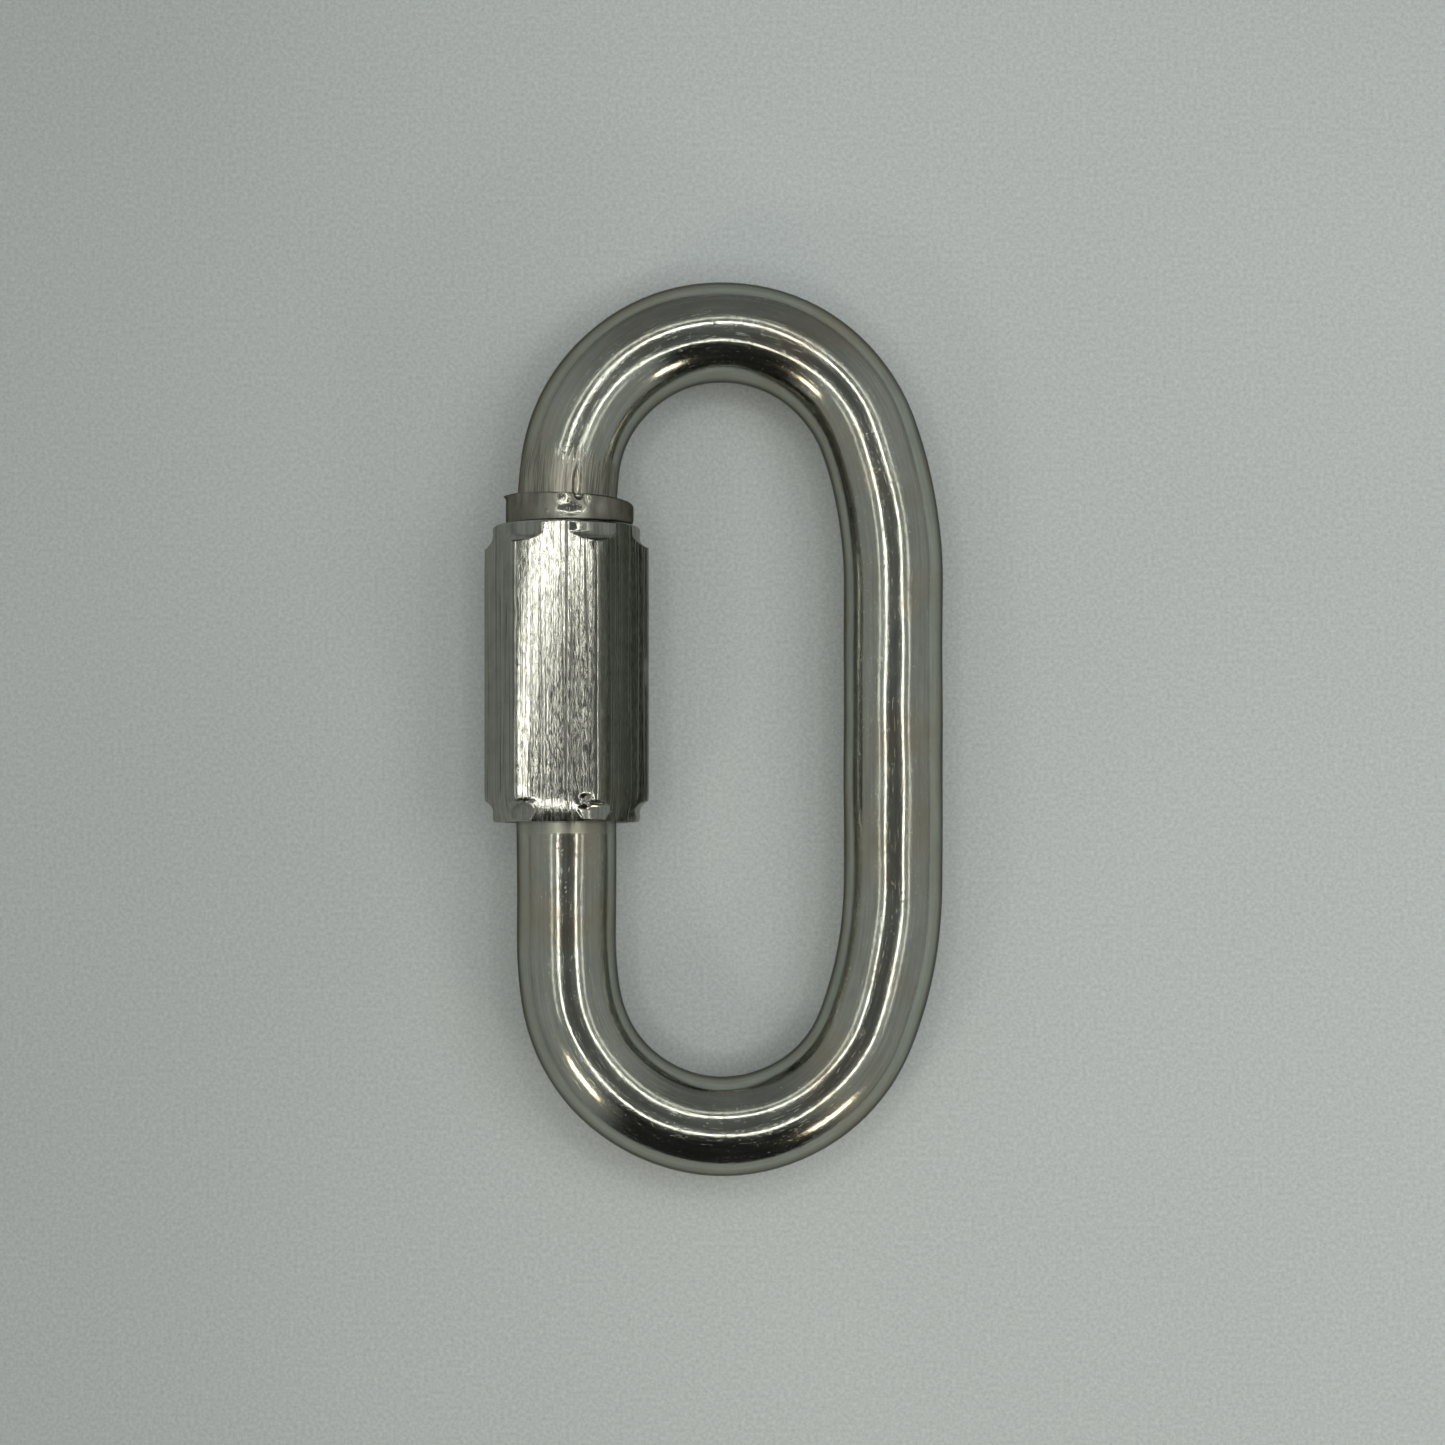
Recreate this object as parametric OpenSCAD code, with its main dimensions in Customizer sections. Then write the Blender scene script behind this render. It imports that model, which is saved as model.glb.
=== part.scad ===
// Screw-lock quick link: a bent steel bar whose open leg is closed by a long hexagonal screw nut.
// The link lies in the XY plane with its length along Y. The nut is on the -X leg, shut against
// the collar at the +Y end. The origin is the centre of the eye, in the bar's mid plane.

/* [Link] */
// Diameter of the round bar
bar_d = 8; // [6:0.1:10]
// Length over the two crowns
link_length = 71.6; // [59:0.1:110]
// Width over the two legs
link_width = 34.2; // [28:0.1:46]
// Centreline radius of the easy bends that lead from the legs into each crown
flank_r = 34; // [28:0.5:60]
// Turn of the easy bends on the screw leg, in degrees
screw_flank_angle = 7.5; // [3:0.5:15]
// Turn of the easy bends on the back leg, in degrees
back_flank_angle = 20; // [5:0.5:30]
// How much the bar's radius draws down in the easy bends
draw_down = 0.06; // [0.05:0.01:0.1]

/* [Gate] */
// Clear opening between the two bar ends with the nut run down
gate_opening = 8.5; // [5:0.1:11]
// Length of the threaded stub under the collar
stub_length = 2.75; // [1.8:0.05:4]
// Length of thread on the long bar end
long_thread_length = 11.5; // [5:0.1:16]
// Chamfer on the tips of both bar ends
tip_chamfer = 0.8; // [0.3:0.05:1.2]

/* [Collar] */
// How far the upset collar stands out from the bar
collar_rise = 1.1; // [0.8:0.05:2]
// Thickness of the collar along the bar
collar_thick = 2.15; // [1.2:0.05:4]
// How far the collar's lower face sits below the end of the straight leg
collar_drop = 0.45; // [0:0.05:0.8]
// How far the collar sits off the bar's axis, towards the eye
collar_shift = 0.25; // [0:0.05:0.3]
// Rounding of the collar's outer edges
collar_round = 0.25; // [0.1:0.05:0.3]

/* [Thread] */
// Advance of the nut in one turn
pitch = 1.25; // [0.8:0.05:1.6]
// How far the thread's crest stands out from the bar
thread_rise = 0.5; // [0.3:0.05:0.8]
// Depth of the bar's thread from crest to root
thread_depth = 0.7; // [0.4:0.05:0.9]
// Radial clearance between the bar's thread and the nut
thread_clearance = 0.05; // [0.02:0.01:0.1]

/* [Nut] */
// How far the open nut runs past the straight stretch of its leg
nut_overrun = 2.1; // [0:0.1:3]
// Gap left between the shut nut and the collar
end_gap = 0.08; // [0.02:0.01:0.3]
// Metal between the nut's thread and each flat
nut_wall = 1.25; // [1.1:0.05:3]
// Turn of the shut nut in its opening direction from having a flat level, in degrees
nut_roll = 7.5; // [-30:0.5:30]
// How far the turned bosses at the nut's ends stand out past the flats
boss_overhang = 0.1; // [0:0.02:0.3]
// Length of the turned boss at the collar end
top_boss_length = 0.8; // [0.5:0.05:2]
// Length of the turned boss at the far end
far_boss_length = 0.8; // [0.5:0.05:2]
// Radius of the hollow turned between each boss and the corners
boss_fillet = 0.9; // [0.6:0.05:1.5]
// Countersink at each mouth of the nut's bore
mouth_chamfer = 0.5; // [0.2:0.05:0.7]
// Length of the plain lips that hold the threaded core in the nut
core_lip = 1.2; // [0.8:0.1:2]
// Wall of the threaded core
core_wall = 0.55; // [0.4:0.05:0.7]
// Radial clearance around the threaded core
core_clearance = 0.03; // [0.01:0.01:0.1]
// Clearance at each end of the threaded core
core_end_clearance = 0.05; // [0.02:0.01:0.2]

/* [Hidden] */
$fn = 96;

// how far cuts run past the faces that they open
over = 1;
// how far a drawn-down stretch of the bar reaches into its thicker neighbours
lap = 0.3;
// parts of the pitch left flat at each crest and at each root
crest_share = 1 / 8;
root_share = 1 / 4;

// bar and bends
bar_r = bar_d / 2;
leg_x = (link_width - bar_d) / 2;
flank_cosines = cos(screw_flank_angle) + cos(back_flank_angle);
crown_r = flank_r - 2 * (flank_r - leg_x) / flank_cosines;
radius_drop = flank_r - crown_r;
crown_x = flank_r - leg_x - radius_drop * cos(screw_flank_angle);
crown_y = link_length / 2 - bar_r - crown_r;
screw_leg_end = crown_y - radius_drop * sin(screw_flank_angle);
back_leg_end = crown_y - radius_drop * sin(back_flank_angle);

// thread and gate, from the collar down
crest_r = bar_r + thread_rise;
root_r = crest_r - thread_depth;
collar_r = bar_r + collar_rise;
collar_y = screw_leg_end - collar_drop;
stub_tip = collar_y - stub_length;
long_tip = stub_tip - gate_opening;
nut_travel = stub_length + gate_opening;

// nut
nut_top = collar_y - end_gap;
nut_length = nut_top - nut_travel + screw_leg_end + nut_overrun;
nut_bottom = nut_top - nut_length;
bore_r = crest_r + thread_clearance;
flat_r = bore_r + nut_wall;
corner_r = flat_r / cos(30);
boss_r = flat_r + boss_overhang;
core_r = bore_r + core_wall;
pocket_r = core_r + core_clearance;
pocket_length = nut_length - 2 * core_lip;

// lays what is drawn along +Z down along +Y, on the screw leg's axis, from height y
module on_screw_leg(y) {
    translate([-leg_x, y, 0])
        rotate([-90, 0, 0])
            children();
}

// a round bar bent in the XY plane about the origin, from angle start to angle end
module bent_bar(bend_r, start, end, thick_r) {
    rotate_extrude(start = start, angle = end - start)
        translate([bend_r, 0])
            circle(r = thick_r);
}

// an easy bend, drawn down and lapped into the leg below it and the crown above it
module easy_bend(start, end) {
    lap_angle = lap / flank_r * 180 / PI;
    bent_bar(flank_r, start - lap_angle, end + lap_angle, bar_r - draw_down);
}

// the bends at the collar end: an easy bend on each leg, and the crown between them
module bends() {
    translate([flank_r - leg_x, screw_leg_end, 0])
        easy_bend(180 - screw_flank_angle, 180);
    translate([leg_x - flank_r, back_leg_end, 0])
        easy_bend(0, back_flank_angle);
    translate([crown_x, crown_y, 0])
        bent_bar(crown_r, back_flank_angle, 180 - screw_flank_angle, bar_r);
}

// outline of a threaded end, from its run-out at height -root to its chamfered tip at height length
function thread_outline(length, root, turns) = concat(
    [[0, -root], [root_r, -root], [crest_r, thread_depth - root]],
    [for (i = [0 : turns - 1], p = groove(length - tip_chamfer - (turns - i) * pitch)) p],
    [[crest_r, length - tip_chamfer], [crest_r - tip_chamfer, length], [0, length]]
);

// one groove of the thread, whose pitch starts at height z
function groove(z) = [
    [crest_r, z + pitch * crest_share / 2],
    [root_r, z + pitch * (1 - root_share) / 2],
    [root_r, z + pitch * (1 + root_share) / 2],
    [crest_r, z + pitch * (1 - crest_share / 2)]
];

// a threaded bar end of that length, whose thread runs out a further root into the bar
module threaded_end(length, root) {
    turns = floor((length + root - tip_chamfer - thread_depth) / pitch);
    rotate_extrude()
        polygon(thread_outline(length, root, turns));
}

// the upset ring that stops the nut, with rounded edges
module collar() {
    rotate_extrude() {
        square([collar_r - collar_round, collar_thick]);
        translate([0, collar_round])
            square([collar_r, collar_thick - 2 * collar_round]);
        for (z = [collar_round, collar_thick - collar_round])
            translate([collar_r - collar_round, z])
                circle(r = collar_round, $fn = 32);
    }
}

// the bent bar, one piece with its collar and its two threaded ends
module link_bar() {
    color("silver") {
        bends();
        mirror([0, 1, 0])
            bends();
        translate([leg_x, -back_leg_end, 0])
            rotate([-90, 0, 0])
                cylinder(r = bar_r, h = 2 * back_leg_end);
        on_screw_leg(-screw_leg_end)
            cylinder(r = bar_r, h = screw_leg_end + long_tip - long_thread_length / 2);
        on_screw_leg(long_tip - long_thread_length)
            threaded_end(long_thread_length, 0);
        translate([collar_shift, 0, 0])
            on_screw_leg(collar_y)
                collar();
        mirror([0, 1, 0])
            on_screw_leg(-collar_y)
                threaded_end(stub_length, collar_thick / 2);
    }
}

// half outline of the turning tool's cut at one end of the nut, with the end face at height 0
module boss_cut(boss_length) {
    translate([boss_r, -boss_length])
        square([corner_r, boss_length + over]);
    translate([boss_r + boss_fillet, -boss_length])
        circle(r = boss_fillet);
}

// the countersunk mouth of the nut's bore, with the end face at height 0
module mouth() {
    translate([0, 0, -mouth_chamfer])
        cylinder(r1 = bore_r, r2 = bore_r + mouth_chamfer + over, h = mouth_chamfer + over);
}

// the outer body of the nut: a hexagonal sleeve with a turned boss at each end
module nut_sleeve() {
    color("gainsboro")
        on_screw_leg(nut_bottom)
            difference() {
                rotate([0, 0, -nut_roll])
                    cylinder(r = corner_r, h = nut_length, $fn = 6);
                rotate_extrude()
                    translate([0, nut_length])
                        boss_cut(top_boss_length);
                rotate_extrude()
                    mirror([0, 1])
                        boss_cut(far_boss_length);
                translate([0, 0, -over])
                    cylinder(r = bore_r, h = nut_length + 2 * over);
                translate([0, 0, core_lip])
                    cylinder(r = pocket_r, h = pocket_length);
                translate([0, 0, nut_length])
                    mouth();
                mirror([0, 0, 1])
                    mouth();
            }
}

// the threaded core of the nut, which travels along the leg while the sleeve turns around it
module nut_thread() {
    color("darkgray")
        on_screw_leg(nut_bottom + core_lip + core_end_clearance)
            difference() {
                cylinder(r = core_r, h = pocket_length - 2 * core_end_clearance);
                translate([0, 0, -over])
                    cylinder(r = bore_r, h = pocket_length + 2 * over);
            }
}

link_bar();
nut_sleeve();
nut_thread();
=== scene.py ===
"""Looks of the screw-lock quick link: a drawn steel bar bent into a long ring, and its hexagonal nut.

Lengths are in millimetres inside this script, in the CAD frame, and become metres only where they are
given to Blender. +Y runs along the link to the collar, +Z faces the viewer, and the nut is on the -X leg.
"""

import math

import bpy
import numpy as np
from mathutils import Matrix, Vector


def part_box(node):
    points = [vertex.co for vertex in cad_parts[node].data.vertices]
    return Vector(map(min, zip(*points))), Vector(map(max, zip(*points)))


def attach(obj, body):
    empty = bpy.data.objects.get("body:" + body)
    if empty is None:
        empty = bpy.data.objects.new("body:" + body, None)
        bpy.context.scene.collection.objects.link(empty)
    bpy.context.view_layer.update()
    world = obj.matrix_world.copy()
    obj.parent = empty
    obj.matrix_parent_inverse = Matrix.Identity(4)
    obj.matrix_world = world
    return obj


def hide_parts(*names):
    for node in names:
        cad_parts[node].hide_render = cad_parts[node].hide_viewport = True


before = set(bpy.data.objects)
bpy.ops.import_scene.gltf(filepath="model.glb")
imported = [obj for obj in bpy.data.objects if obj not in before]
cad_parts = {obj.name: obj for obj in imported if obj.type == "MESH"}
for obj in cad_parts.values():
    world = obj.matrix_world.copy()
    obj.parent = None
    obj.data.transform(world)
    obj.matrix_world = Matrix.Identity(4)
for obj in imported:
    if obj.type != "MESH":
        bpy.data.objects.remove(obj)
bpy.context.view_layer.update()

MM = 0.001

# ---------------------------------------------------------------- sizes of the link

BAR_R = 4.0
FLANK_R = 34.0
SCREW_FLANK = math.radians(7.5)
BACK_FLANK = math.radians(20)
STUB_LENGTH = 2.75
GATE_OPENING = 8.5
LONG_THREAD_LENGTH = 11.5
TIP_CHAMFER = 0.8
STUB_RELIEF = 0.5
WAVINESS = 0.012
COLLAR_R = 5.1
COLLAR_THICK = 2.15
COLLAR_DROP = 0.45
COLLAR_SHIFT = 0.25

# Rounding of the collar's edges, and on its worn side, towards the eye, with that side's spread in radians.
COLLAR_ROUND = 0.14
COLLAR_WORN_ROUND = 0.5
COLLAR_WORN_SPREAD = 0.75

# Thread of both bar ends, then the nut's, which clears it.
PITCH = 1.25
CREST_R = 4.5
ROOT_R = 3.8
CREST_SHARE = 1 / 8
ROOT_SHARE = 1 / 4
NUT_CREST_R = 4.08
BORE_R = 4.55
THREAD_GAP = 0.08

FLAT_R = 5.8
NUT_ROLL = math.radians(7.5)
BOSS_R = 5.88
TOP_BOSS = 0.8
FAR_BOSS = 0.8
BOSS_FILLET = 0.9
BOSS_EDGE = 0.16
BOSS_BLEND = 0.006
MOUTH_DEPTH = 1.0
# Power of the blend between neighbouring flats: the higher it is, the sharper the corners.
CORNER_SHARPNESS = 110

# How the nut's flats roll off: towards one edge, towards the collar end and towards the far end.
EDGE_ROLL_START = 2.05
EDGE_ROLL_SLOPE = 0.028
EDGE_ROLL_WIDTH = 1.2
EDGE_ROLL_BLEND = 0.2
TOP_ROLL_START = 4.4
TOP_ROLL_END = 1.7
TOP_ROLL_SLOPE = 0.010
TOP_ROLL_BLEND = 0.4
FAR_ROLL_LENGTH = 2.7
FAR_ROLL_DROP = 0.36

# Where the bar was turned for its long thread, as distances from the tip of that end.
RUN_OUT_BAND = (11.3, 13.5)

# Length of the brushed stretch of bar next to the collar.
BRUSHED_LENGTH = 3.0

# Heights above the leg's axis between which the nut's flats go from fresh to worn.
WORN_FRONT = (4.6, 5.4)

# Sides of the bar's section. Those within FRONT_SPAN of its top line are the narrowest.
BAR_SIDES = 280
FRONT_SIDES = 140
FRONT_SPAN = math.radians(36)

# Steps along the bar: near the long thread and the collar, between them, on the collar, and on the stub.
FINE_STEP, PLAIN_STEP, COLLAR_STEP, STUB_STEP = 0.1, 0.8, 0.055, 0.09
THREAD_MARGIN = 0.4
COLLAR_APPROACH = 3.4
COLLAR_MARGIN = 0.1

# Radii of the rings that close each end of the bar, over the radius there.
CAP_SHARES = (0.02, 0.5, 0.9)

# Sides of the nut, and rows of its three outer stretches and of its bore.
NUT_SIDES = 360
TOP_ROWS, MIDDLE_ROWS, FAR_ROWS = 36, 28, 42
TOP_MARGIN, FAR_MARGIN = 0.15, 0.9
BORE_ROWS_PER_PITCH = 11
TURNED_BLEND = 0.02

# Faces that meet at more than this are drawn with a sharp edge.
SHARP_ANGLE = math.radians(32)
NUT_SHARP_ANGLE = math.radians(24)


def cad_corners(node):
    """Lowest and highest corner of a CAD node, in millimetres."""
    low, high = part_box(node)
    return np.array(low) / MM, np.array(high) / MM


BAR_HIGH = cad_corners("link_bar")[1]
NUT_LOW, NUT_HIGH = cad_corners("nut_sleeve")

LEG_X = BAR_HIGH[0] - BAR_R
HALF_LENGTH = BAR_HIGH[1]
CROWN_R = FLANK_R - 2 * (FLANK_R - LEG_X) / (math.cos(SCREW_FLANK) + math.cos(BACK_FLANK))
CROWN_Y = HALF_LENGTH - BAR_R - CROWN_R
SCREW_LEG_END = CROWN_Y - (FLANK_R - CROWN_R) * math.sin(SCREW_FLANK)
BACK_LEG_END = CROWN_Y - (FLANK_R - CROWN_R) * math.sin(BACK_FLANK)
STUB_TIP = SCREW_LEG_END - COLLAR_DROP - STUB_LENGTH
LONG_TIP = STUB_TIP - GATE_OPENING
NUT_TOP, NUT_BOTTOM = NUT_HIGH[1], NUT_LOW[1]


# ---------------------------------------------------------------- mesh helpers


def add_mesh(name, points, faces, smooth_angle=SHARP_ANGLE, attributes=None):
    """A mesh object from points in millimetres, smooth where faces meet at less than smooth_angle."""
    mesh = bpy.data.meshes.new(name)
    mesh.from_pydata((np.asarray(points) * MM).tolist(), [], faces)
    for key, values in (attributes or {}).items():
        layer = mesh.attributes.new(key, "FLOAT_VECTOR", "POINT")
        layer.data.foreach_set("vector", np.asarray(values, np.float32).ravel())
    mesh.polygons.foreach_set("use_smooth", [True] * len(mesh.polygons))
    mesh.set_sharp_from_angle(angle=smooth_angle)
    mesh.validate()
    obj = bpy.data.objects.new(name, mesh)
    bpy.context.scene.collection.objects.link(obj)
    return obj


def grid_faces(rows, sides, closed):
    """Quads between rows of sides points each. A closed grid joins its last row to its first."""
    count = rows if closed else rows - 1
    faces = []
    for i in range(count):
        a, b = i * sides, (i + 1) % rows * sides
        faces += [(a + j, b + j, b + (j + 1) % sides, a + (j + 1) % sides) for j in range(sides)]
    return faces


def wrapped(turn):
    """An angle, or an array of them, brought within half a turn of zero."""
    return (turn + math.pi) % (2 * math.pi) - math.pi


def bump_at(x, y, width_x, width_y, steepness=1):
    """A bump of height 1 at the origin. A steepness of 2 or more gives it a flat top and steep sides."""
    return np.exp(-(((x / width_x) ** 2 + (y / width_y) ** 2) ** steepness))


# ---------------------------------------------------------------- thread shape


def bar_thread_r(y, turn):
    """Radius of the bar's thread at height y and angle turn, on one right-hand helix for both ends."""
    phase = (y / PITCH - turn / (2 * math.pi)) % 1
    from_crest = np.abs(phase - 0.5)
    low, high = CREST_SHARE / 2, 0.5 - ROOT_SHARE / 2
    depth = np.clip((from_crest - low) / (high - low), 0, 1)
    return CREST_R - (CREST_R - ROOT_R) * depth


def nut_thread_r(y, turn):
    """Radius of the nut's thread, which clears the bar's thread on the same helix."""
    return np.clip(bar_thread_r(y, turn) + THREAD_GAP, NUT_CREST_R, BORE_R)


# ---------------------------------------------------------------- link bar


def bar_path(stations):
    """Centre and heading of the bar at distances along it, from the long threaded tip to the stub's tip."""
    crown_turn = math.pi - SCREW_FLANK - BACK_FLANK
    runs = [
        (LONG_TIP + SCREW_LEG_END, 0),
        (FLANK_R * SCREW_FLANK, SCREW_FLANK),
        (CROWN_R * crown_turn, crown_turn),
        (FLANK_R * BACK_FLANK, BACK_FLANK),
        (2 * BACK_LEG_END, 0),
        (FLANK_R * BACK_FLANK, BACK_FLANK),
        (CROWN_R * crown_turn, crown_turn),
        (FLANK_R * SCREW_FLANK, SCREW_FLANK),
        (COLLAR_DROP + STUB_LENGTH, 0),
    ]
    centre = np.zeros((len(stations), 2))
    heading = np.zeros(len(stations))
    start, at, facing = 0.0, np.array([-LEG_X, LONG_TIP]), -math.pi / 2
    for length, turn in runs:
        here = (stations >= start - 1e-9) & (stations <= start + length + 1e-9)
        along = stations[here] - start
        centre[here], heading[here] = run_points(at, facing, along, turn / length)
        end, _ = run_points(at, facing, np.array([length]), turn / length)
        start, at, facing = start + length, end[0], facing + turn
    return centre, heading


def run_points(at, facing, along, curvature):
    """Points and headings at distances along a straight run or an arc."""
    heading = facing + curvature * along
    if curvature == 0:
        return at + np.outer(along, [math.cos(facing), math.sin(facing)]), heading
    side = np.stack([np.sin(heading), -np.cos(heading)], 1)
    side -= [math.sin(facing), -math.cos(facing)]
    return at + side / curvature, heading


def bar_length():
    """Length of the bar's centreline, from the long threaded tip to the stub's tip."""
    crown_turn = math.pi - SCREW_FLANK - BACK_FLANK
    bends = 2 * (FLANK_R * (SCREW_FLANK + BACK_FLANK) + CROWN_R * crown_turn)
    return LONG_TIP + SCREW_LEG_END + bends + 2 * BACK_LEG_END + COLLAR_DROP + STUB_LENGTH


def bar_stations():
    """Distances along the bar at which its section is drawn, close together where it has detail."""
    total = bar_length()
    collar = total - STUB_LENGTH - COLLAR_THICK
    thread_end = LONG_THREAD_LENGTH + THREAD_MARGIN
    collar_end = collar + COLLAR_THICK + COLLAR_MARGIN
    edges = [
        (0, thread_end, FINE_STEP),
        (thread_end, collar - COLLAR_APPROACH, PLAIN_STEP),
        (collar - COLLAR_APPROACH, collar - COLLAR_MARGIN, FINE_STEP),
        (collar - COLLAR_MARGIN, collar_end, COLLAR_STEP),
        (collar_end, total, STUB_STEP),
    ]
    stretches = [np.linspace(a, b, round((b - a) / step), endpoint=False) for a, b, step in edges]
    return np.concatenate(stretches + [[total]])


def collar_share(from_top, turn):
    """How far the section has grown from bar to collar, 0 to 1, at distances below the collar's top."""
    worn_side = np.exp(-(((turn - math.pi / 2) / COLLAR_WORN_SPREAD) ** 2))
    rounding = COLLAR_ROUND + (COLLAR_WORN_ROUND - COLLAR_ROUND) * worn_side
    inside = np.minimum(from_top, COLLAR_THICK - from_top)
    rounded = np.clip(inside / rounding, 0, 1)
    drop = rounding / (COLLAR_R - BAR_R) * (1 - np.sqrt(1 - (1 - rounded) ** 2))
    return np.where(inside < 0, 0, 1 - drop)


# Marks of the upsetting tool on the front of the collar and the bar above it: angle round the bar,
# distance below the collar's top edge, width round, width along, depth and steepness.
COLLAR_DENTS = [
    (11.0, -1.00, 0.42, 1.45, 0.22, 3),
    (11.0, 0.00, 0.38, 0.50, 0.42, 4),
    (-2.6, 0.56, 0.46, 0.46, 0.060, 2),
    (18.0, 0.51, 0.25, 0.40, 0.048, 2),
    (4.4, 1.36, 0.98, 0.46, 0.075, 2),
    (30.0, 1.10, 0.35, 0.60, 0.050, 1),
]
# Width of the smooth patch that each dent leaves, over the dent's own width.
PRESSED_SHARE = 1.3

# Burrs and swellings of the collar, in the same terms, but standing out.
COLLAR_RIDGES = [
    (-17.5, 1.45, 0.14, 0.12, 0.07, 1),
    (-84.0, 0.06, 0.60, 0.14, 0.25, 1),
    (-50.0, 1.00, 1.60, 0.25, 0.04, 1),
    (50.0, 1.30, 0.60, 0.50, 0.05, 1),
]


def tool_marks(phi, from_top, share):
    """Height that the tool's marks add to the bar's radius, and where they pressed it smooth, 0 to 1."""
    rise = pressed = 0 * phi * from_top
    for marks, sign in ((COLLAR_DENTS, -1), (COLLAR_RIDGES, 1)):
        for degrees, below, width_round, width_along, depth, steepness in marks:
            away = COLLAR_R * wrapped(phi - math.radians(degrees))
            keep = (share > 0) if below >= 0 else (from_top < 0)
            below_mark = from_top - below
            mark = bump_at(away, below_mark, width_round, width_along, steepness)
            rise = rise + sign * depth * mark * keep
            if sign < 0:
                widths = PRESSED_SHARE * width_round, PRESSED_SHARE * width_along
                smooth = bump_at(away, below_mark, *widths, steepness)
                pressed = np.maximum(pressed, smooth * keep)
    return rise, pressed


def bar_turns():
    """Angles round the bar's section, close together in front, where the collar's marks are."""
    front = np.linspace(-FRONT_SPAN, FRONT_SPAN, FRONT_SIDES, endpoint=False)
    rest = np.linspace(FRONT_SPAN, 2 * math.pi - FRONT_SPAN, BAR_SIDES - FRONT_SIDES, endpoint=False)
    return np.concatenate([front, rest])


def bar_radius(stations, turn):
    """Radius of the bar for every station and angle round it, and where the tool pressed it smooth."""
    total = bar_length()
    s, phi = stations[:, None], turn[None, :]
    waves = np.sin(2 * phi + 0.37 * s) + np.sin(3 * phi - 0.61 * s + 1)
    radius = BAR_R - WAVINESS * (2 - waves)

    from_long = s + 0 * phi
    run_out = np.clip((LONG_THREAD_LENGTH - s) / (CREST_R - ROOT_R), 0, 1)
    thread = np.minimum(bar_thread_r(LONG_TIP - s, phi), BAR_R + (CREST_R - BAR_R) * run_out)
    radius = np.where(from_long < LONG_THREAD_LENGTH, thread, radius)

    to_stub = total - s
    relief = to_stub > STUB_LENGTH - STUB_RELIEF
    stub = np.where(relief, ROOT_R, bar_thread_r(STUB_TIP + to_stub, phi))
    radius = np.where(to_stub < STUB_LENGTH, stub, radius)
    for from_tip in (s, to_stub):
        cone = CREST_R - TIP_CHAMFER + from_tip + 0 * phi
        radius = np.where(from_tip < TIP_CHAMFER, np.minimum(radius, cone), radius)

    from_top = s - (total - STUB_LENGTH - COLLAR_THICK)
    across = COLLAR_SHIFT * np.sin(phi)
    ring = across + np.sqrt(COLLAR_R**2 - (COLLAR_SHIFT * np.cos(phi)) ** 2)
    share = collar_share(from_top, wrapped(phi))
    radius = np.where(share > 0, BAR_R + (ring - BAR_R) * share, radius)
    rise, pressed = tool_marks(phi, from_top, share)
    return radius + rise, pressed


def build_bar():
    """The bent bar as one closed skin, swept along its path."""
    stations = bar_stations()
    turn = bar_turns()
    radius, pressed = bar_radius(stations, turn)
    first = np.outer(CAP_SHARES, radius[0])
    last = np.outer(CAP_SHARES[::-1], radius[-1])
    radius = np.concatenate([first, radius, last])
    pressed = np.concatenate([0 * first, pressed, 0 * last])
    stations = np.pad(stations, len(CAP_SHARES), mode="edge")

    centre, heading = bar_path(stations)
    side = np.stack([-np.sin(heading), np.cos(heading)], 1)
    flat = radius * np.sin(turn)
    up = radius * np.cos(turn)
    points = np.empty((len(stations), BAR_SIDES, 3))
    points[..., 0] = centre[:, None, 0] + side[:, None, 0] * flat
    points[..., 1] = centre[:, None, 1] + side[:, None, 1] * flat
    points[..., 2] = up
    straight = np.empty_like(points)
    straight[..., 0] = stations[:, None]
    straight[..., 1] = flat
    straight[..., 2] = up
    faces = grid_faces(len(stations), BAR_SIDES, closed=False)
    faces.append(tuple(range(BAR_SIDES)))
    top = (len(stations) - 1) * BAR_SIDES
    faces.append(tuple(top + j for j in reversed(range(BAR_SIDES))))
    shares = {"bar_space": straight.reshape(-1, 3), "pressed": np.repeat(pressed.reshape(-1, 1), 3, 1)}
    return add_mesh("link_bar_steel", points.reshape(-1, 3), faces, attributes=shares)


# ---------------------------------------------------------------- nut


def turned_r(from_end, boss_length):
    """Radius that the turning tool leaves at a distance from the nut's end face."""
    past = np.clip(from_end - boss_length, 0, BOSS_FILLET)
    hollow = BOSS_R + BOSS_FILLET - np.sqrt(BOSS_FILLET**2 - past**2)
    edge = BOSS_R - np.clip(BOSS_EDGE - from_end, 0, BOSS_EDGE)
    return np.where(from_end > boss_length, hollow, edge)


def smooth_min(a, b, softness):
    """The smaller of two lengths, blended where they are within about one softness of each other."""
    low = np.minimum(a, b)
    return low - softness * np.log(np.exp((low - a) / softness) + np.exp((low - b) / softness))


# Nicks and burrs on the nut: angle from the front flat's middle, height above the far end,
# width round, width along, and how far it stands out.
NUT_MARKS = [
    (21.0, 1.75, 0.35, 0.28, -0.16),
    (23.0, 1.25, 0.22, 0.20, 0.12),
    (-24.0, 1.55, 0.50, 0.16, -0.08),
    (30.0, 8.4, 0.25, 0.35, -0.05),
    (-31.0, 16.2, 0.25, 0.50, -0.04),
    (88.0, 12.0, 0.30, 0.60, -0.04),
    (150.0, 5.0, 0.35, 0.35, -0.05),
    (-142.0, 18.0, 0.30, 0.45, -0.05),
    (30.5, 21.6, 0.30, 0.18, -0.10),
]


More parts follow.
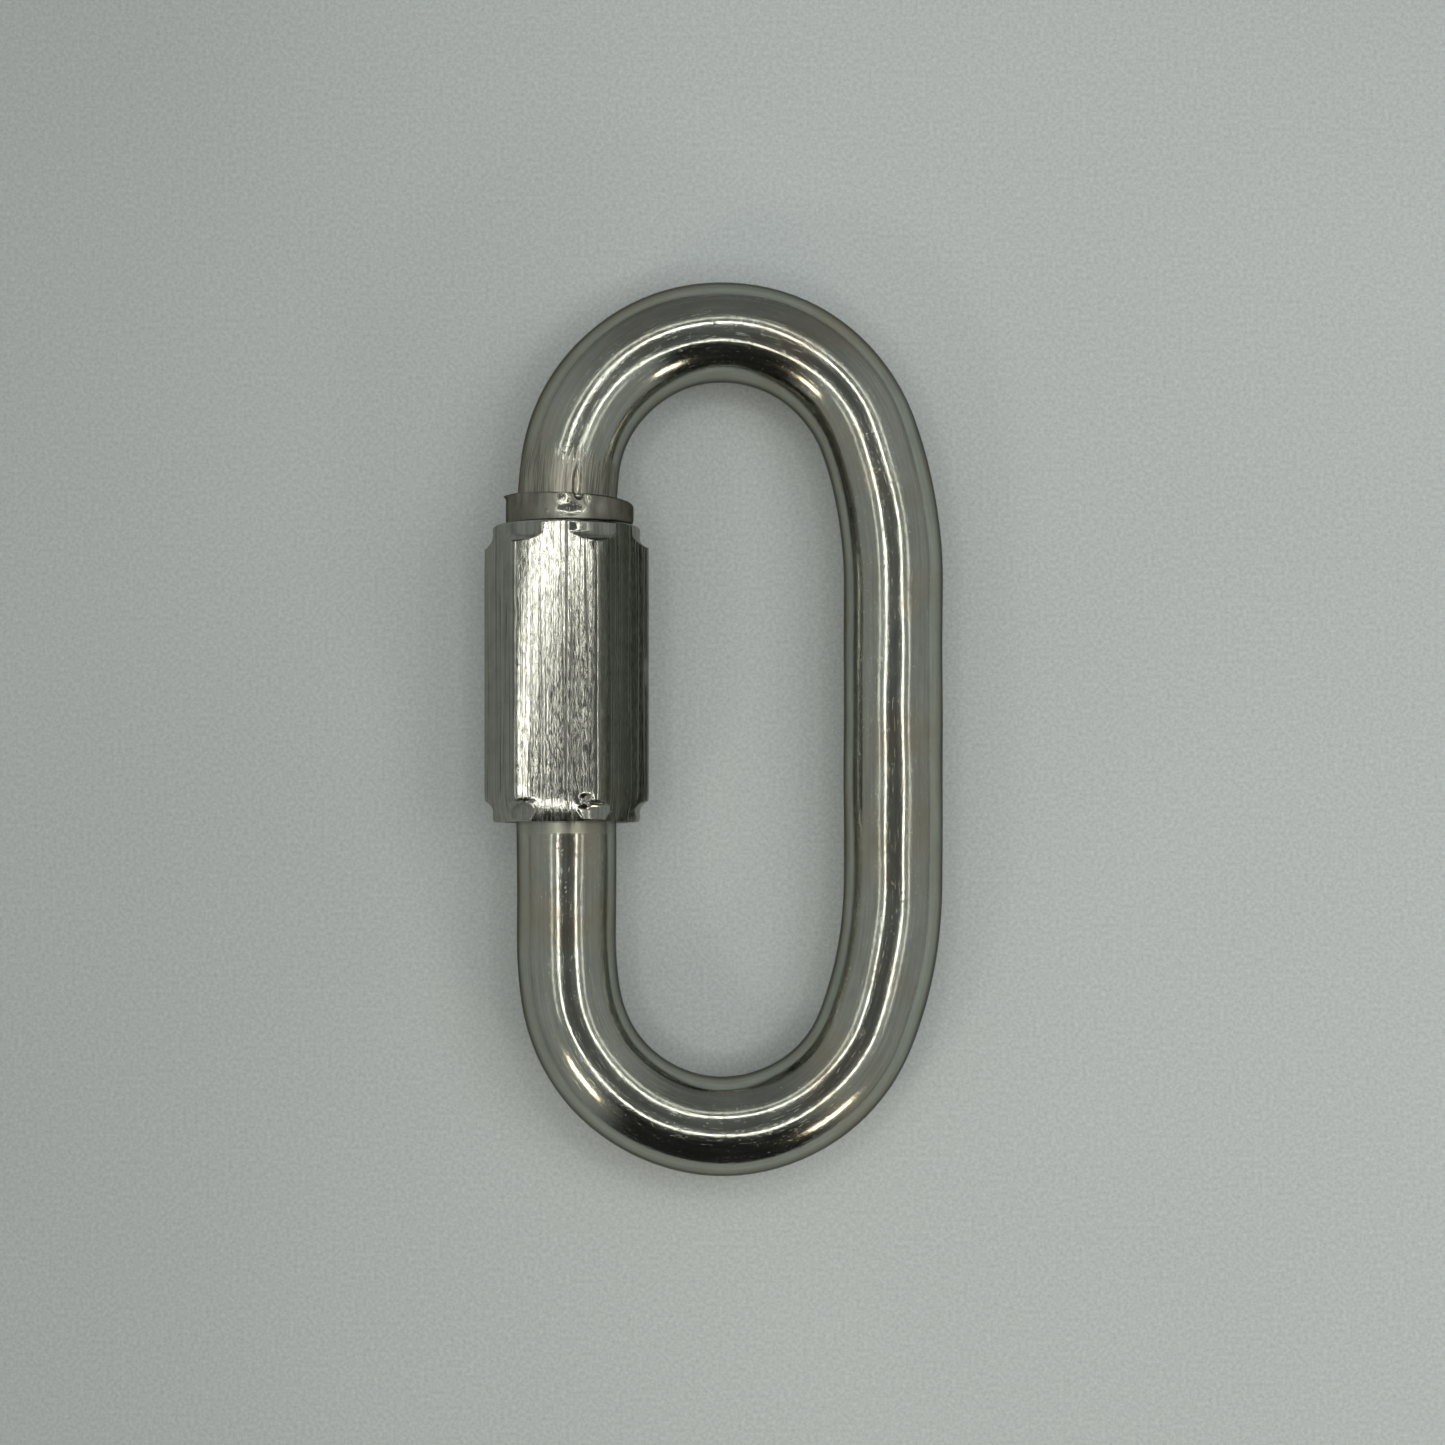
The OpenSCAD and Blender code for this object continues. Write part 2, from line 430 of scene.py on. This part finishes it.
def flat_height(y, across):
    """Distance of a flat from the nut's axis: it rolls off towards one edge and both ends."""
    edge = np.clip(-across - EDGE_ROLL_START, 0, EDGE_ROLL_WIDTH)
    edge = EDGE_ROLL_SLOPE * edge**2 / (edge + EDGE_ROLL_BLEND)
    top = np.clip(TOP_ROLL_START - (NUT_TOP - y), 0, TOP_ROLL_START - TOP_ROLL_END)
    top = TOP_ROLL_SLOPE * top**2 / (top + TOP_ROLL_BLEND)
    far = np.clip(1 - (y - NUT_BOTTOM) / FAR_ROLL_LENGTH, 0, 1)
    return FLAT_R - edge - top - FAR_ROLL_DROP * far**2


def nut_outer_r(y, turn):
    """Outer radius of the nut at height y and angle turn from the front flat, and where it is turned."""
    slopes = 0
    for i in range(6):
        from_flat = wrapped(turn - i * math.pi / 3)
        facing = np.maximum(np.cos(from_flat), 0.05)
        height = flat_height(y, FLAT_R * np.sin(from_flat) / facing)
        slopes = slopes + (facing / height) ** CORNER_SHARPNESS
    hexagon = slopes ** (-1 / CORNER_SHARPNESS)
    ends = np.minimum(turned_r(NUT_TOP - y, TOP_BOSS), turned_r(y - NUT_BOTTOM, FAR_BOSS))
    radius = smooth_min(hexagon, ends, BOSS_BLEND)
    turned = np.clip((hexagon - ends) / TURNED_BLEND + 0.5, 0, 1)
    for degrees, height, width_round, width_along, rise in NUT_MARKS:
        away = FLAT_R * wrapped(turn - math.radians(degrees))
        radius = radius + rise * bump_at(away, y - NUT_BOTTOM - height, width_round, width_along)
    return radius, turned


def nut_rows():
    """Heights of the rows that go down the outside and back up the bore, and which are inside."""
    length = NUT_TOP - NUT_BOTTOM
    top_end = TOP_BOSS + BOSS_FILLET + TOP_MARGIN
    far_end = FAR_BOSS + BOSS_FILLET + FAR_MARGIN
    outside = np.concatenate([
        NUT_TOP - np.linspace(0, top_end, TOP_ROWS, endpoint=False),
        np.linspace(NUT_TOP - top_end, NUT_BOTTOM + far_end, MIDDLE_ROWS, endpoint=False),
        NUT_BOTTOM + np.linspace(far_end, 0, FAR_ROWS),
    ])
    inside = np.linspace(NUT_BOTTOM, NUT_TOP, round(length / PITCH * BORE_ROWS_PER_PITCH))
    return outside, inside


def build_nut():
    """The nut as one closed skin: hexagon, turned ends, countersunk mouths and the thread inside."""
    outside, inside = nut_rows()
    from_flat = np.linspace(0, 2 * math.pi, NUT_SIDES, endpoint=False)
    turn = from_flat - NUT_ROLL
    outer, turned = nut_outer_r(outside[:, None], from_flat[None, :])
    to_end = np.minimum(inside - NUT_BOTTOM, NUT_TOP - inside)[:, None]
    mouth = NUT_CREST_R + np.clip(MOUTH_DEPTH - to_end, 0, MOUTH_DEPTH)
    inner = np.maximum(nut_thread_r(inside[:, None], turn[None, :]), mouth)
    y = np.concatenate([outside, inside])
    radius = np.concatenate([outer, inner])
    turned = np.concatenate([turned, np.ones_like(inner)])
    points = np.empty((len(y), NUT_SIDES, 3))
    points[..., 0] = -LEG_X + radius * np.sin(turn)
    points[..., 1] = y[:, None]
    points[..., 2] = radius * np.cos(turn)
    faces = grid_faces(len(y), NUT_SIDES, closed=True)
    shares = {"turned": np.repeat(turned.reshape(-1, 1), 3, 1)}
    return add_mesh("screw_nut", points.reshape(-1, 3), faces, NUT_SHARP_ANGLE, shares)


# ---------------------------------------------------------------- materials

# Colours, from the darker to the paler where there are two. EDGE is the tint of a steel seen edge-on.
BAR_DARK, BAR_PALE = (0.375, 0.39, 0.345, 1), (0.475, 0.49, 0.435, 1)
BAR_TINT = (0.42, 0.36, 0.27, 1)
BRUSHED_DARK, BRUSHED_PALE = (0.21, 0.20, 0.165, 1), (0.50, 0.485, 0.42, 1)
COLLAR_OXIDE = (0.17, 0.155, 0.13, 1)
BAR_EDGE = (0.25, 0.245, 0.24, 1)
NUT_DARK, NUT_PALE = (0.31, 0.315, 0.28, 1), (0.42, 0.425, 0.385, 1)
NUT_STAIN = (0.12, 0.125, 0.115, 1)
NUT_DIRT = (0.06, 0.055, 0.05, 1)
NUT_EDGE = (0.7, 0.7, 0.66, 1)
# The paper's left colours are painted shade: darker, as if further from the soft light.
PAPER_LEFT_SHADED = (0.545, 0.585, 0.60, 1), (0.70, 0.75, 0.765, 1)
PAPER_RIGHT = (0.645, 0.69, 0.705, 1), (0.835, 0.895, 0.91, 1)

# Where the paper goes from its left colours, darkened with painted shade, to its right ones, right of the
# link's middle.
PAPER_SHADE_FADE = (-62, 5)
PAPER_ROUGHNESS = 0.9


class Nodes:
    """A short way to write a node tree: each call makes a node, and sockets passed as inputs are linked."""

    def __init__(self, tree):
        self.tree = tree
        tree.nodes.clear()

    def add(self, kind, inputs=None, **settings):
        node = self.tree.nodes.new("ShaderNode" + kind)
        for key, value in settings.items():
            setattr(node, key, value)
        for key, value in (inputs or {}).items():
            if isinstance(value, bpy.types.NodeSocket):
                self.tree.links.new(value, node.inputs[key])
            else:
                node.inputs[key].default_value = value
        return node

    def stretched(self, vector, scale, turned=(0, 0, 0)):
        inputs = {"Vector": vector, "Scale": scale, "Rotation": turned}
        return self.add("Mapping", inputs).outputs[0]

    def noise(self, vector, scale, detail=4, roughness=0.55, distortion=0.0):
        inputs = {
            "Vector": vector,
            "Scale": scale,
            "Detail": detail,
            "Roughness": roughness,
            "Distortion": distortion,
        }
        return self.add("TexNoise", inputs).outputs["Fac"]

    def remap(self, value, low, high, to_low, to_high, smooth=False):
        inputs = {"Value": value, 1: low, 2: high, 3: to_low, 4: to_high}
        kind = "SMOOTHSTEP" if smooth else "LINEAR"
        return self.add("MapRange", inputs, interpolation_type=kind).outputs[0]

    def math(self, operation, a, b=0.0):
        return self.add("Math", {0: a, 1: b}, operation=operation).outputs[0]

    def total(self, *terms):
        """Sum of several sockets or numbers."""
        result = terms[0]
        for term in terms[1:]:
            result = self.math("ADD", result, term)
        return result

    def product(self, *terms):
        """Product of several sockets or numbers."""
        result = terms[0]
        for term in terms[1:]:
            result = self.math("MULTIPLY", result, term)
        return result

    def rest_of(self, share):
        return self.math("SUBTRACT", 1.0, share)

    def mix(self, share, a, b):
        return self.add("Mix", {0: share, 6: a, 7: b}, data_type="RGBA").outputs[2]

    def bump(self, height, strength, distance, normal=None):
        inputs = {"Height": height, "Strength": strength, "Distance": distance * MM}
        if normal is not None:
            inputs["Normal"] = normal
        return self.add("Bump", inputs).outputs[0]


def new_material(name):
    material = bpy.data.materials.new(name)
    material.use_nodes = True
    return material, Nodes(material.node_tree)


def finish_material(nodes, color, roughness, normal, metallic=1.0, edge=(1, 1, 1, 1)):
    inputs = {
        "Base Color": color,
        "Roughness": roughness,
        "Normal": normal,
        "Metallic": metallic,
        "Specular Tint": edge,
    }
    shader = nodes.add("BsdfPrincipled", inputs)
    nodes.add("OutputMaterial", {"Surface": shader.outputs[0]})


def bar_zones(n, along, lines, pressed):
    """Shares of the bar's own zones: the turned band, the dull collar and the brushed length above it."""
    low, high = RUN_OUT_BAND
    band_start = n.remap(along, low, low + 0.2, 0, 1, True)
    band_end = n.remap(along, high - 0.3, high, 1, 0, True)
    collar_start = bar_length() - STUB_LENGTH - COLLAR_THICK
    collar = n.remap(along, collar_start - 0.03, collar_start + 0.05, 0, 1)
    ragged = n.total(along, n.remap(lines, 0.3, 0.7, -1.2, 1.2))
    brush_start = collar_start - BRUSHED_LENGTH
    brushed = n.remap(ragged, brush_start - 0.5, brush_start + 0.3, 0, 1, True)
    unpressed = n.rest_of(pressed)
    band = n.product(band_start, band_end)
    return band, n.product(collar, unpressed), n.product(brushed, unpressed, n.rest_of(collar))


def bar_steel():
    """Drawn and tumbled bar: bright, with fine lines along it, small scratches and a faint tint.

    The collar is dull and brown, and the bar above it brushed, except where the tool pressed them smooth.
    """
    material, n = new_material("bar_steel")
    space = n.add("Attribute", attribute_name="bar_space").outputs["Vector"]
    pressed = n.add("Attribute", attribute_name="pressed").outputs["Fac"]
    along = n.add("SeparateXYZ", {"Vector": space}).outputs[0]
    lines = n.noise(n.stretched(space, (0.10, 4.0, 4.0)), 1.0, 3, 0.5)
    fine = n.noise(n.stretched(space, (2.6, 7.0, 7.0)), 1.0, 2, 0.6)
    cloud = n.noise(n.stretched(space, (0.35, 0.9, 0.9)), 1.0, 4, 0.6)
    mottle = n.noise(space, 3.4, 2, 0.5)
    patches = n.noise(space, 0.16, 3, 0.5)
    crossing = n.noise(n.stretched(space, (0.5, 9.0, 1.2), (0.5, 0.9, 0.3)), 1.0, 2, 0.5)
    scratch = n.remap(crossing, 0.66, 0.70, 0.0, 1.0)
    rings = n.noise(n.stretched(space, (9.0, 0.15, 0.15)), 1.0, 3, 0.6)
    bristles = n.noise(n.stretched(space, (0.3, 8.0, 8.0)), 1.0, 3, 0.6)
    band, dull, brushed = bar_zones(n, along, lines, pressed)

    shade = n.total(n.product(lines, 0.5), n.product(cloud, 0.5))
    grey = n.mix(n.remap(shade, 0.38, 0.62, 0, 1), BAR_DARK, BAR_PALE)
    tint = n.mix(n.remap(patches, 0.48, 0.7, 0, 0.6), grey, BAR_TINT)
    brown = n.mix(n.remap(bristles, 0.38, 0.62, 0, 1), BRUSHED_DARK, BRUSHED_PALE)
    color = n.mix(n.product(brushed, 0.85), tint, brown)
    oxide = n.remap(cloud, 0.3, 0.6, 0.95, 0.45)
    color = n.mix(n.product(dull, oxide), color, COLLAR_OXIDE)
    roughness = n.total(
        n.remap(lines, 0.35, 0.65, 0.10, 0.14),
        n.remap(fine, 0.58, 0.70, 0.0, 0.14),
        n.remap(cloud, 0.45, 0.70, 0.0, 0.05),
        n.product(band, 0.16),
        n.product(dull, 0.24),
        n.product(brushed, 0.20),
    )
    normal = n.bump(lines, 1.0, 0.0018)
    normal = n.bump(fine, 1.0, 0.0012, normal)
    normal = n.bump(n.product(mottle, n.rest_of(pressed)), 1.0, 0.0042, normal)
    normal = n.bump(n.product(scratch, -1.0), 0.5, 0.006, normal)
    normal = n.bump(n.product(bristles, brushed), 1.0, 0.012, normal)
    normal = n.bump(n.product(rings, band), 1.0, 0.012, normal)
    finish_material(n, color, roughness, normal, edge=BAR_EDGE)
    return material


def nut_steel():
    """Drawn hexagon: satin flats with straight streaks along the nut, some pitting and old dirt.

    The streaks are deepest on the worn front, and the turned ends have none.
    """
    material, n = new_material("nut_steel")
    space = n.stretched(n.add("TexCoord").outputs["Object"], (1 / MM, 1 / MM, 1 / MM))
    drawn = n.rest_of(n.add("Attribute", attribute_name="turned").outputs["Fac"])
    front = n.remap(n.add("SeparateXYZ", {"Vector": space}).outputs[2], *WORN_FRONT, 0.18, 1.0, True)
    worn = n.product(front, drawn)
    streaks = n.noise(n.stretched(space, (5.0, 0.04, 5.0)), 1.0, 2, 0.6)
    broad = n.noise(n.stretched(space, (1.4, 0.03, 1.4)), 1.0, 2, 0.5)
    dashes = n.noise(n.stretched(space, (6.0, 1.5, 6.0)), 1.0, 2, 0.5)
    worms = n.noise(n.stretched(space, (3.6, 2.4, 3.6)), 1.0, 1, 0.5, 0.6)
    pits = n.noise(space, 3.0, 6, 0.75)
    stains = n.noise(space, 0.55, 4, 0.6, 0.4)
    contour = n.noise(n.stretched(space, (1.0, 0.012, 1.0)), 1.0, 2, 0.5)
    from_contour = n.math("ABSOLUTE", n.math("SUBTRACT", contour, 0.5))
    groove = n.product(n.remap(from_contour, 0.0, 0.016, 1.0, 0.0, True), drawn)

    grey = n.mix(n.remap(streaks, 0.35, 0.65, 0, 1), NUT_DARK, NUT_PALE)
    grey = n.mix(n.remap(stains, 0.45, 0.65, 0.0, 0.22), grey, NUT_STAIN)
    dirt = n.product(n.remap(pits, 0.58, 0.7, 0, 1), n.remap(stains, 0.5, 0.68, 0, 1))
    dirt = n.math("MAXIMUM", dirt, n.product(groove, 0.65))
    color = n.mix(dirt, grey, NUT_DIRT)
    roughness = n.total(n.remap(dashes, 0.40, 0.60, 0.09, 0.19), n.product(dirt, 0.3))
    normal = n.bump(n.product(broad, worn), 1.0, 0.0025)
    normal = n.bump(n.product(streaks, worn), 1.0, 0.0034, normal)
    normal = n.bump(n.product(dashes, worn), 1.0, 0.0028, normal)
    normal = n.bump(n.product(worms, worn), 1.0, 0.002, normal)
    normal = n.bump(pits, 1.0, 0.0006, normal)
    normal = n.bump(n.product(groove, -1.0), 1.0, 0.008, normal)
    finish_material(n, color, roughness, normal, edge=NUT_EDGE)
    return material


def paper():
    """Matt pale paper with a fine grain, and painted shade that darkens it towards the left, away from the
    soft light.
    """
    material, n = new_material("paper")
    space = n.stretched(n.add("TexCoord").outputs["Object"], (1 / MM, 1 / MM, 1 / MM))
    grain = n.noise(space, 3.2, 3, 0.7)
    cloud = n.noise(space, 0.02, 2, 0.5)
    across = n.add("SeparateXYZ", {"Vector": space}).outputs[0]
    # Painted shade: the paper's colour darkens towards the left.
    out_of_painted_shade = n.remap(across, *PAPER_SHADE_FADE, 0.0, 1.0, True)
    tone = n.total(n.remap(grain, 0.3, 0.7, 0.0, 1.0), n.remap(cloud, 0.3, 0.7, -0.1, 0.1))
    color = n.mix(out_of_painted_shade, n.mix(tone, *PAPER_LEFT_SHADED), n.mix(tone, *PAPER_RIGHT))
    normal = n.bump(grain, 0.5, 0.04)
    finish_material(n, color, PAPER_ROUGHNESS, normal, metallic=0.0)
    return material


# ---------------------------------------------------------------- how it lies, and the studio


def resting_tilt():
    """Angle between the link's plane and the table: it rests on the back leg and a corner of the nut."""
    corner_r = FLAT_R / math.cos(math.pi / 6)
    corner_angle = math.pi / 2 - NUT_ROLL - math.pi / 6
    corner_x = -LEG_X - corner_r * math.cos(corner_angle)
    corner_z = -corner_r * math.sin(corner_angle)
    reach = math.hypot(LEG_X - corner_x, corner_z)
    return math.atan2(-corner_z, LEG_X - corner_x) - math.asin(BAR_R / reach)


TILT = resting_tilt()
UP = Vector((-math.sin(TILT), 0, math.cos(TILT)))
RIGHT = Vector((math.cos(TILT), 0, math.sin(TILT)))
AHEAD = Vector((0, 1, 0))
TABLE = Vector((LEG_X, 0, 0)) - BAR_R * UP

# The camera: its height over the link's middle, the width it takes in there, where it aims and stands.
VIEW_DISTANCE = 243.0
VIEW_WIDTH = 115.8
SENSOR = 36.0
AIM_RIGHT = -0.62
AIM_AHEAD = 0.55
EYE_AHEAD = -12.0

# The lamps overhead: the ring that draws the bar's two bright lines, and a fainter arc outside it.
RING_HEIGHT = 286.0
RING_RIGHT, RING_AHEAD = 9.5, -13.0
RING_R = 110.0
RING_WIDTH = 5
RING_COLOR = (1.0, 0.99, 0.93)
RING_STRENGTH = 17
TENT_ARC_R = (200.0, 172.0)
TENT_ARC_WIDTH = 10
TENT_ARC_SPAN = (-25, 205)
TENT_ARC_COLOR = (1.0, 1.0, 0.93)
TENT_ARC_STRENGTH = 3.6
ARC_SIDES = 96

# The warm panels beside the table: name, azimuth, lower edge and upper edge.
PANELS = [("strip_right", -54, 110, 150), ("strip_left", -136, 170, 220)]
PANEL_DISTANCE = 260.0
PANEL_WIDTH = 60
PANEL_COLOR = (1.0, 0.88, 0.66)
PANEL_STRENGTH = 8.0

SOFT_PLACE = (220, 20, 260)
SOFT_SIZE = 180
SOFT_POWER = 0.125
FLOOR_HALF = 1500.0

# Light of the tent's walls and of the dark middle overhead, then the degrees over which one part fades
# into the next, from straight up, from the front, from the back and down to the horizon, and the share
# of the walls' light that is left in front, at the back and at the horizon.
TENT_COLOR = (0.97, 1.0, 0.96, 1)
WALL_LIGHT = 0.35
HOLE_LIGHT = 0.12
HOLE_FADE = (18, 26)
FRONT_FADE = (28, 46)
BACK_FADE = (20, 60)
HORIZON_FADE = (76, 90)
FRONT_SHARE, BACK_SHARE, HORIZON_SHARE = 0.06, 0.52, 0.8


def placed(right, ahead, up):
    """A place in metres, from millimetres right of, ahead of and above the point under the centre."""
    foot = UP * TABLE.dot(UP)
    return (foot + RIGHT * right + AHEAD * ahead + UP * up) * MM


def table_frame(right=0.0, ahead=0.0, up=0.0):
    turn = Matrix((RIGHT, AHEAD, UP)).transposed().to_4x4()
    turn.translation = placed(right, ahead, up)
    return turn


def add_camera():
    data = bpy.data.cameras.new("camera")
    data.sensor_width = SENSOR
    data.lens = SENSOR * VIEW_DISTANCE / VIEW_WIDTH
    data.shift_y = (AIM_AHEAD - EYE_AHEAD) / VIEW_WIDTH
    data.clip_start = 0.01
    camera = bpy.data.objects.new("camera", data)
    bpy.context.scene.collection.objects.link(camera)
    camera.matrix_world = Matrix((RIGHT, AHEAD, UP)).transposed().to_4x4()
    camera.location = (RIGHT * AIM_RIGHT + AHEAD * EYE_AHEAD + UP * VIEW_DISTANCE) * MM
    bpy.context.scene.camera = camera


def add_floor():
    points = [(x * FLOOR_HALF, y * FLOOR_HALF, 0) for x, y in ((-1, -1), (1, -1), (1, 1), (-1, 1))]
    floor = add_mesh("floor", points, [(0, 1, 2, 3)])
    floor.matrix_world = table_frame()
    floor.data.materials.append(paper())


def glowing(obj, color, strength):
    """Makes a stage object a lamp that the camera doesn't see."""
    material, n = new_material(obj.name)
    glow = n.add("Emission", {"Color": (*color, 1), "Strength": strength})
    n.add("OutputMaterial", {"Surface": glow.outputs[0]})
    obj.data.materials.append(material)
    obj.visible_camera = False
    obj.visible_shadow = False


def add_arc_lamp(name, radii, width, span, color, strength):
    """A flat hoop lamp overhead, or the part of a hoop within a span of angles in degrees."""
    turn = np.radians(np.linspace(*span, ARC_SIDES + 1))
    rows = []
    for grow in (-width / 2, width / 2):
        right = (radii[0] + grow) * np.cos(turn)
        ahead = (radii[1] + grow) * np.sin(turn)
        rows.append(np.stack([right, ahead, 0 * turn], 1))
    outer = ARC_SIDES + 1
    faces = [(j, outer + j, outer + j + 1, j + 1) for j in range(ARC_SIDES)]
    lamp = add_mesh(name, np.concatenate(rows), faces)
    lamp.matrix_world = table_frame(RING_RIGHT, RING_AHEAD, RING_HEIGHT + BAR_R)
    glowing(lamp, color, strength)


def add_panel_lamp(name, azimuth, low, high):
    """An upright panel lamp beside the table, turned towards the link."""
    angle = math.radians(azimuth)
    points = [(0, side * PANEL_WIDTH / 2, up) for up in (low, high) for side in (-1, 1)]
    lamp = add_mesh(name, points, [(0, 1, 3, 2)])
    spot = table_frame(PANEL_DISTANCE * math.cos(angle), PANEL_DISTANCE * math.sin(angle), 0)
    lamp.matrix_world = spot @ Matrix.Rotation(angle, 4, "Z")
    glowing(lamp, PANEL_COLOR, PANEL_STRENGTH)


def add_soft_light():
    """A wide soft light off to the right, which lights the paper but isn't reflected in the steel."""
    data = bpy.data.lights.new("soft_light", "AREA")
    data.shape = "DISK"
    data.size = SOFT_SIZE * MM
    data.energy = SOFT_POWER
    light = bpy.data.objects.new("soft_light", data)
    bpy.context.scene.collection.objects.link(light)
    light.matrix_world = table_frame(*SOFT_PLACE)
    light.visible_glossy = False


def add_world():
    """A light tent: pale sides, a dimmer back, a dark open front and a dark middle overhead."""
    world = bpy.data.worlds.new("studio")
    bpy.context.scene.world = world
    world.use_nodes = True
    n = Nodes(world.node_tree)
    way = n.add("TexCoord").outputs["Generated"]

    def part(axis):
        return n.add("VectorMath", {0: way, 1: tuple(axis)}, operation="DOT_PRODUCT").outputs["Value"]

    polar = n.math("MULTIPLY", n.math("ARCCOSINE", part(UP)), 180 / math.pi)
    azimuth = n.math("MULTIPLY", n.math("ARCTAN2", part(AHEAD), part(RIGHT)), 180 / math.pi)
    off_front = n.math("ABSOLUTE", n.math("ADD", azimuth, 90))
    off_back = n.math("ABSOLUTE", n.math("SUBTRACT", azimuth, 90))
    outside = n.remap(polar, *HOLE_FADE, 0.0, 1.0, True)
    front = n.remap(off_front, *FRONT_FADE, FRONT_SHARE, 1.0, True)
    back = n.remap(off_back, *BACK_FADE, BACK_SHARE, 1.0, True)
    horizon = n.remap(polar, *HORIZON_FADE, 1.0, HORIZON_SHARE, True)
    walls = n.product(front, back, horizon, WALL_LIGHT)
    light = n.add("Mix", {0: outside, 2: HOLE_LIGHT, 3: walls}, data_type="FLOAT").outputs[0]
    lit = n.add("Background", {"Color": TENT_COLOR, "Strength": light})
    n.add("OutputWorld", {"Surface": lit.outputs[0]})


# ---------------------------------------------------------------- the scene

add_camera()
add_world()
add_floor()
add_soft_light()
add_arc_lamp("ring_lamp", (RING_R, RING_R), RING_WIDTH, (0, 360), RING_COLOR, RING_STRENGTH)
add_arc_lamp("tent_arc", TENT_ARC_R, TENT_ARC_WIDTH, TENT_ARC_SPAN, TENT_ARC_COLOR, TENT_ARC_STRENGTH)
for panel in PANELS:
    add_panel_lamp(*panel)

bar = build_bar()
bar.data.materials.append(bar_steel())
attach(bar, "link")
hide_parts("link_bar")

nut = build_nut()
nut.data.materials.append(nut_steel())
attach(nut, "nut")
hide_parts("nut_sleeve", "nut_thread")

bpy.context.scene.view_settings.view_transform = "Standard"
